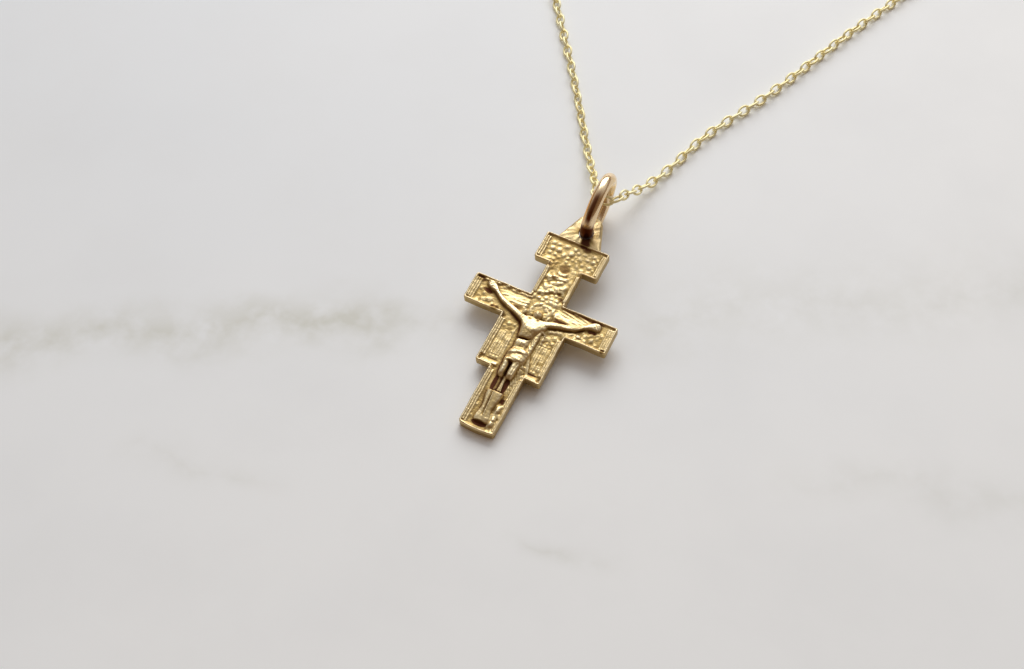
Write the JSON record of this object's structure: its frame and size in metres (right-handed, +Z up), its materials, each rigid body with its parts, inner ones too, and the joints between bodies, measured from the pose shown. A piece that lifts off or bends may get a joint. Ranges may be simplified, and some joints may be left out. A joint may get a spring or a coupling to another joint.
{
  "type": "crucifix necklace",
  "caption": "Cast crucifix pendant with a stepped outline on a thick jump ring, threaded on a closed loop of fine cable chain with a small round clasp, lying flat.",
  "frame": {"origin": "centre of the whole necklace's box, on the surface it lies on", "axes": "+Z up from the surface, +Y from the foot of the cross along the loop to the clasp, +X to the right of a viewer at the foot"},
  "size_m": [0.115, 0.2161, 0.0087],
  "materials": {
    "cast_gold": "cast relief, gold plated, bright on the high points",
    "ring_gold": "polished drawn wire, gold plated",
    "chain_gold": "polished fine links, pale gold",
    "clasp_gold": "polished, pale gold"
  },
  "bodies": {
    "root": {"crucifix": "cast_gold", "bail_ring": "ring_gold", "chain": "chain_gold", "clasp": "clasp_gold"}
  },
  "joints": []
}
